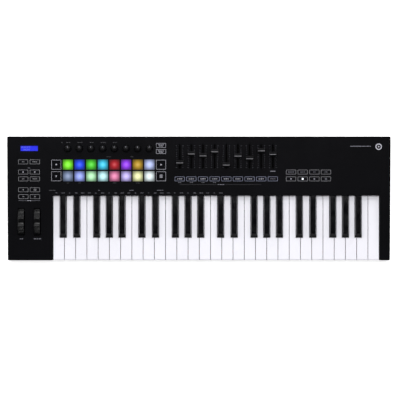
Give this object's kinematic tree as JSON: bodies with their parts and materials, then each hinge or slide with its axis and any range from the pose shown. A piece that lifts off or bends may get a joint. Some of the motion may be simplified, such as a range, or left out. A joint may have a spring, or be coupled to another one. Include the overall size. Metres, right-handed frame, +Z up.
{
  "type": "midi keyboard controller",
  "caption": "Slim keyboard controller with a sloping control panel of knobs, pads, faders and buttons above full-size piano keys, and two wheels at the left.",
  "frame": {"origin": "on the table, under the middle of the case", "axes": "+X towards the treble end along the keyboard, +Y away from the player, +Z up"},
  "size_m": [0.79, 0.256, 0.0779],
  "materials": {
    "case_plastic": "fine texture",
    "chassis_plastic": "moulded",
    "steel": "zinc plated",
    "spring_steel": "bright wire",
    "circuit_board": "solder mask",
    "contact_silicone": "satin",
    "felt": "felt",
    "keymat": "matt",
    "sensor_film": "satin",
    "pot_body": "satin",
    "backlight": "satin",
    "window": "clear",
    "socket_plastic": "moulded",
    "foot_rubber": "matt",
    "ribbon": "satin",
    "wheel_rubber": "ribbed",
    "pad_silicone": "translucent, satin",
    "white_keys": "gloss",
    "black_keys": "satin",
    "knob_plastic": "soft touch"
  },
  "bodies": {
    "case": {"top_case": "case_plastic", "bottom_case": "case_plastic", "keybed_chassis": "chassis_plastic", "key_pivot_rod": "steel", "return_springs": "spring_steel", "key_contact_board": "circuit_board", "key_contact_domes": "contact_silicone", "key_stop_felts": "felt", "control_board": "circuit_board", "left_panel_board": "circuit_board", "jack_board": "circuit_board", "button_mats": "keymat", "pad_sensor_sheet": "sensor_film", "rotary_pots": "pot_body", "slide_pots": "pot_body", "display_module": "backlight", "display_window": "window", "wheel_bracket": "chassis_plastic", "usb_socket": "steel", "midi_out_socket": "socket_plastic", "pedal_jack": "socket_plastic", "rubber_feet": "foot_rubber", "screws": "steel", "ribbon_cables": "ribbon"},
    "pitch_wheel": {"pitch_wheel": "wheel_rubber"},
    "mod_wheel": {"mod_wheel": "wheel_rubber"},
    "pads": {"pads": "pad_silicone"},
    "left_panel_buttons": {"left_panel_buttons": "keymat"},
    "pad_section_buttons": {"pad_section_buttons": "keymat"},
    "fader_buttons": {"fader_buttons": "keymat"},
    "transport_buttons": {"transport_buttons": "keymat"},
    "keys_c": {"keys_c": "white_keys"},
    "keys_c_sharp": {"keys_c_sharp": "black_keys"},
    "keys_d": {"keys_d": "white_keys"},
    "keys_d_sharp": {"keys_d_sharp": "black_keys"},
    "keys_e": {"keys_e": "white_keys"},
    "keys_f": {"keys_f": "white_keys"},
    "keys_f_sharp": {"keys_f_sharp": "black_keys"},
    "keys_g": {"keys_g": "white_keys"},
    "keys_g_sharp": {"keys_g_sharp": "black_keys"},
    "keys_a": {"keys_a": "white_keys"},
    "keys_a_sharp": {"keys_a_sharp": "black_keys"},
    "keys_b": {"keys_b": "white_keys"},
    "knob_1": {"knob_1": "knob_plastic"},
    "knob_2": {"knob_2": "knob_plastic"},
    "knob_3": {"knob_3": "knob_plastic"},
    "knob_4": {"knob_4": "knob_plastic"},
    "knob_5": {"knob_5": "knob_plastic"},
    "knob_6": {"knob_6": "knob_plastic"},
    "knob_7": {"knob_7": "knob_plastic"},
    "knob_8": {"knob_8": "knob_plastic"},
    "fader_1": {"fader_1": "knob_plastic"},
    "fader_2": {"fader_2": "knob_plastic"},
    "fader_3": {"fader_3": "knob_plastic"},
    "fader_4": {"fader_4": "knob_plastic"},
    "fader_5": {"fader_5": "knob_plastic"},
    "fader_6": {"fader_6": "knob_plastic"},
    "fader_7": {"fader_7": "knob_plastic"},
    "fader_8": {"fader_8": "knob_plastic"},
    "fader_9": {"fader_9": "knob_plastic"}
  },
  "joints": [
    {"name": "keys_c_hinge", "type": "hinge", "parent": "case", "child": "keys_c", "pos_m": [0, 0.062, 0.032], "axis": [1, 0, 0], "range_deg": [0, 3], "stiffness_Nm_per_rad": 2.5, "springref_deg": -11.46},
    {"name": "keys_c_sharp_hinge", "type": "hinge", "parent": "case", "child": "keys_c_sharp", "pos_m": [0, 0.062, 0.032], "axis": [1, 0, 0], "range_deg": [0, 3], "stiffness_Nm_per_rad": 2, "springref_deg": -11.46},
    {"name": "keys_d_hinge", "type": "hinge", "parent": "case", "child": "keys_d", "pos_m": [0, 0.062, 0.032], "axis": [1, 0, 0], "range_deg": [0, 3], "stiffness_Nm_per_rad": 2, "springref_deg": -11.46},
    {"name": "keys_d_sharp_hinge", "type": "hinge", "parent": "case", "child": "keys_d_sharp", "pos_m": [0, 0.062, 0.032], "axis": [1, 0, 0], "range_deg": [0, 3], "stiffness_Nm_per_rad": 2, "springref_deg": -11.46},
    {"name": "keys_e_hinge", "type": "hinge", "parent": "case", "child": "keys_e", "pos_m": [0, 0.062, 0.032], "axis": [1, 0, 0], "range_deg": [0, 3], "stiffness_Nm_per_rad": 2, "springref_deg": -11.46},
    {"name": "keys_f_hinge", "type": "hinge", "parent": "case", "child": "keys_f", "pos_m": [0, 0.062, 0.032], "axis": [1, 0, 0], "range_deg": [0, 3], "stiffness_Nm_per_rad": 2, "springref_deg": -11.46},
    {"name": "keys_f_sharp_hinge", "type": "hinge", "parent": "case", "child": "keys_f_sharp", "pos_m": [0, 0.062, 0.032], "axis": [1, 0, 0], "range_deg": [0, 3], "stiffness_Nm_per_rad": 2, "springref_deg": -11.46},
    {"name": "keys_g_hinge", "type": "hinge", "parent": "case", "child": "keys_g", "pos_m": [0, 0.062, 0.032], "axis": [1, 0, 0], "range_deg": [0, 3], "stiffness_Nm_per_rad": 2, "springref_deg": -11.46},
    {"name": "keys_g_sharp_hinge", "type": "hinge", "parent": "case", "child": "keys_g_sharp", "pos_m": [0, 0.062, 0.032], "axis": [1, 0, 0], "range_deg": [0, 3], "stiffness_Nm_per_rad": 2, "springref_deg": -11.46},
    {"name": "keys_a_hinge", "type": "hinge", "parent": "case", "child": "keys_a", "pos_m": [0, 0.062, 0.032], "axis": [1, 0, 0], "range_deg": [0, 3], "stiffness_Nm_per_rad": 2, "springref_deg": -11.46},
    {"name": "keys_a_sharp_hinge", "type": "hinge", "parent": "case", "child": "keys_a_sharp", "pos_m": [0, 0.062, 0.032], "axis": [1, 0, 0], "range_deg": [0, 3], "stiffness_Nm_per_rad": 2, "springref_deg": -11.46},
    {"name": "keys_b_hinge", "type": "hinge", "parent": "case", "child": "keys_b", "pos_m": [0, 0.062, 0.032], "axis": [1, 0, 0], "range_deg": [0, 3], "stiffness_Nm_per_rad": 2, "springref_deg": -11.46},
    {"name": "pitch_wheel_turn", "type": "hinge", "parent": "case", "child": "pitch_wheel", "pos_m": [-0.3667, -0.04729, 0.03607], "axis": [1, 0, 0], "range_deg": [-35, 35], "stiffness_Nm_per_rad": 0.08},
    {"name": "mod_wheel_turn", "type": "hinge", "parent": "case", "child": "mod_wheel", "pos_m": [-0.3337, -0.04729, 0.03607], "axis": [1, 0, 0], "range_deg": [-35, 35]},
    {"name": "knob_1_turn", "type": "hinge", "parent": "case", "child": "knob_1", "pos_m": [-0.27, 0.10369, 0.0601], "axis": [0, -0.0779, 0.997], "range_deg": [-150, 150]},
    {"name": "knob_2_turn", "type": "hinge", "parent": "case", "child": "knob_2", "pos_m": [-0.246, 0.10369, 0.0601], "axis": [0, -0.0779, 0.997], "range_deg": [-150, 150]},
    {"name": "knob_3_turn", "type": "hinge", "parent": "case", "child": "knob_3", "pos_m": [-0.222, 0.10369, 0.0601], "axis": [0, -0.0779, 0.997], "range_deg": [-150, 150]},
    {"name": "knob_4_turn", "type": "hinge", "parent": "case", "child": "knob_4", "pos_m": [-0.198, 0.10369, 0.0601], "axis": [0, -0.0779, 0.997], "range_deg": [-150, 150]},
    {"name": "knob_5_turn", "type": "hinge", "parent": "case", "child": "knob_5", "pos_m": [-0.174, 0.10369, 0.0601], "axis": [0, -0.0779, 0.997], "range_deg": [-150, 150]},
    {"name": "knob_6_turn", "type": "hinge", "parent": "case", "child": "knob_6", "pos_m": [-0.15, 0.10369, 0.0601], "axis": [0, -0.0779, 0.997], "range_deg": [-150, 150]},
    {"name": "knob_7_turn", "type": "hinge", "parent": "case", "child": "knob_7", "pos_m": [-0.126, 0.10369, 0.0601], "axis": [0, -0.0779, 0.997], "range_deg": [-150, 150]},
    {"name": "knob_8_turn", "type": "hinge", "parent": "case", "child": "knob_8", "pos_m": [-0.102, 0.10369, 0.0601], "axis": [0, -0.0779, 0.997], "range_deg": [-150, 150]},
    {"name": "fader_1_slide", "type": "slide", "parent": "case", "child": "fader_1", "axis": [0, 0.997, 0.0779], "range_m": [-0.01035, 0.03465]},
    {"name": "fader_2_slide", "type": "slide", "parent": "case", "child": "fader_2", "axis": [0, 0.997, 0.0779], "range_m": [-0.0288, 0.0162]},
    {"name": "fader_3_slide", "type": "slide", "parent": "case", "child": "fader_3", "axis": [0, 0.997, 0.0779], "range_m": [-0.02475, 0.02025]},
    {"name": "fader_4_slide", "type": "slide", "parent": "case", "child": "fader_4", "axis": [0, 0.997, 0.0779], "range_m": [-0.0333, 0.0117]},
    {"name": "fader_5_slide", "type": "slide", "parent": "case", "child": "fader_5", "axis": [0, 0.997, 0.0779], "range_m": [-0.00585, 0.03915]},
    {"name": "fader_6_slide", "type": "slide", "parent": "case", "child": "fader_6", "axis": [0, 0.997, 0.0779], "range_m": [-0.0243, 0.0207]},
    {"name": "fader_7_slide", "type": "slide", "parent": "case", "child": "fader_7", "axis": [0, 0.997, 0.0779], "range_m": [-0.0189, 0.0261]},
    {"name": "fader_8_slide", "type": "slide", "parent": "case", "child": "fader_8", "axis": [0, 0.997, 0.0779], "range_m": [-0.0351, 0.0099]},
    {"name": "fader_9_slide", "type": "slide", "parent": "case", "child": "fader_9", "axis": [0, 0.997, 0.0779], "range_m": [-0.0279, 0.0171]},
    {"name": "pads_press", "type": "slide", "parent": "case", "child": "pads", "axis": [0, 0.0779, -0.997], "range_m": [0, 0.001], "stiffness_N_per_m": 3000, "springref_m": -0.0005},
    {"name": "left_panel_buttons_press", "type": "slide", "parent": "case", "child": "left_panel_buttons", "axis": [0, 0.0779, -0.997], "range_m": [0, 0.001], "stiffness_N_per_m": 1500, "springref_m": -0.0005},
    {"name": "pad_section_buttons_press", "type": "slide", "parent": "case", "child": "pad_section_buttons", "axis": [0, 0.0779, -0.997], "range_m": [0, 0.001], "stiffness_N_per_m": 1500, "springref_m": -0.0005},
    {"name": "fader_buttons_press", "type": "slide", "parent": "case", "child": "fader_buttons", "axis": [0, 0.0779, -0.997], "range_m": [0, 0.001], "stiffness_N_per_m": 1500, "springref_m": -0.0005},
    {"name": "transport_buttons_press", "type": "slide", "parent": "case", "child": "transport_buttons", "axis": [0, 0.0779, -0.997], "range_m": [0, 0.001], "stiffness_N_per_m": 1500, "springref_m": -0.0005}
  ]
}
